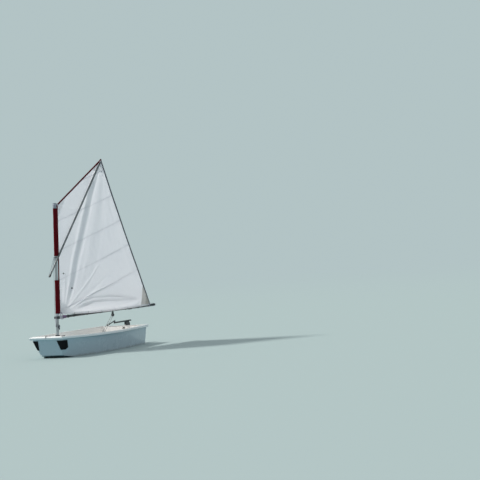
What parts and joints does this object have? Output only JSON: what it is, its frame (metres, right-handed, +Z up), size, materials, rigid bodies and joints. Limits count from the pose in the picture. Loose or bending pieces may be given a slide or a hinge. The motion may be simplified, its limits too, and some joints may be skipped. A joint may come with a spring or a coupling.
{
  "type": "children's sailing dinghy",
  "caption": "Small pram dinghy with blunt bow, open hull, sprit sail on an unstayed mast, boom, daggerboard, rudder and tiller, afloat at its waterline.",
  "frame": {"origin": "amidships on the centreline, at the level of the water", "axes": "+X to the bow, +Y to port, +Z up"},
  "size_m": [2.5642, 1.1722, 3.8552],
  "materials": {
    "hull_white": "gloss gelcoat",
    "strake_white": "gloss",
    "pad_rubber": "matt rubber",
    "bare_steel": "satin",
    "board_white": "gloss",
    "board_trim": "satin",
    "bag_cloth": "coated cloth",
    "webbing": "woven webbing",
    "dark_spar": "dark anodised",
    "silver_spar": "silver anodised",
    "grey_plastic": "satin",
    "black_plastic": "satin",
    "sail_cloth": "woven sailcloth",
    "maroon_cloth": "woven cloth"
  },
  "bodies": {
    "hull": {"hull_bottom": "hull_white", "hull_side_port": "hull_white", "hull_side_starboard": "hull_white", "bow_transom": "hull_white", "stern_transom": "hull_white", "strake_port": "strake_white", "strake_starboard": "strake_white", "bow_rail": "strake_white", "stern_rail": "strake_white", "bow_corner_pads": "pad_rubber", "mast_thwart": "hull_white", "mast_step": "hull_white", "painter_eye": "bare_steel", "midship_thwart": "hull_white", "daggerboard_case": "hull_white", "buoyancy_bag_port": "bag_cloth", "buoyancy_bag_starboard": "bag_cloth", "buoyancy_bag_bow": "bag_cloth", "toe_straps": "webbing", "gudgeons": "bare_steel", "floor_block": "black_plastic"},
    "rig": {"mast": "silver_spar", "mast_head_cap": "grey_plastic", "boom": "dark_spar", "boom_jaw": "black_plastic", "boom_end_cap": "black_plastic", "boom_strop": "black_plastic", "sail": "sail_cloth", "luff_sleeve_lower": "maroon_cloth", "luff_sleeve_upper": "maroon_cloth", "luff_strip": "maroon_cloth", "sprit": "silver_spar", "sprit_caps": "black_plastic", "mast_fittings": "black_plastic", "boom_fittings": "black_plastic", "boom_block": "black_plastic"},
    "rudder": {"rudder_blade": "board_white", "rudder_cheeks": "board_trim", "tiller": "dark_spar", "extension_swivel": "black_plastic", "pintles": "bare_steel"},
    "extension": {"tiller_extension": "dark_spar", "extension_grip": "pad_rubber"},
    "daggerboard": {"daggerboard": "board_white", "daggerboard_stops": "board_trim"}
  },
  "joints": [
    {"name": "rig_turn", "type": "hinge", "parent": "hull", "child": "rig", "pos_m": [0.832, 0, 0.318], "axis": [-0.0837, 0, 0.9965], "range_deg": [-73, 107]},
    {"name": "rudder_turn", "type": "hinge", "parent": "hull", "child": "rudder", "pos_m": [-1.196, 0, 0.14], "axis": [0, 0, 1], "range_deg": [-60, 60]},
    {"name": "extension_swing", "type": "hinge", "parent": "rudder", "child": "extension", "pos_m": [-0.87, 0, 0.417], "axis": [0, 0, 1], "range_deg": [-167, 133]},
    {"name": "daggerboard_lift", "type": "slide", "parent": "hull", "child": "daggerboard", "axis": [0, 0, 1], "range_m": [0, 0.6]}
  ]
}
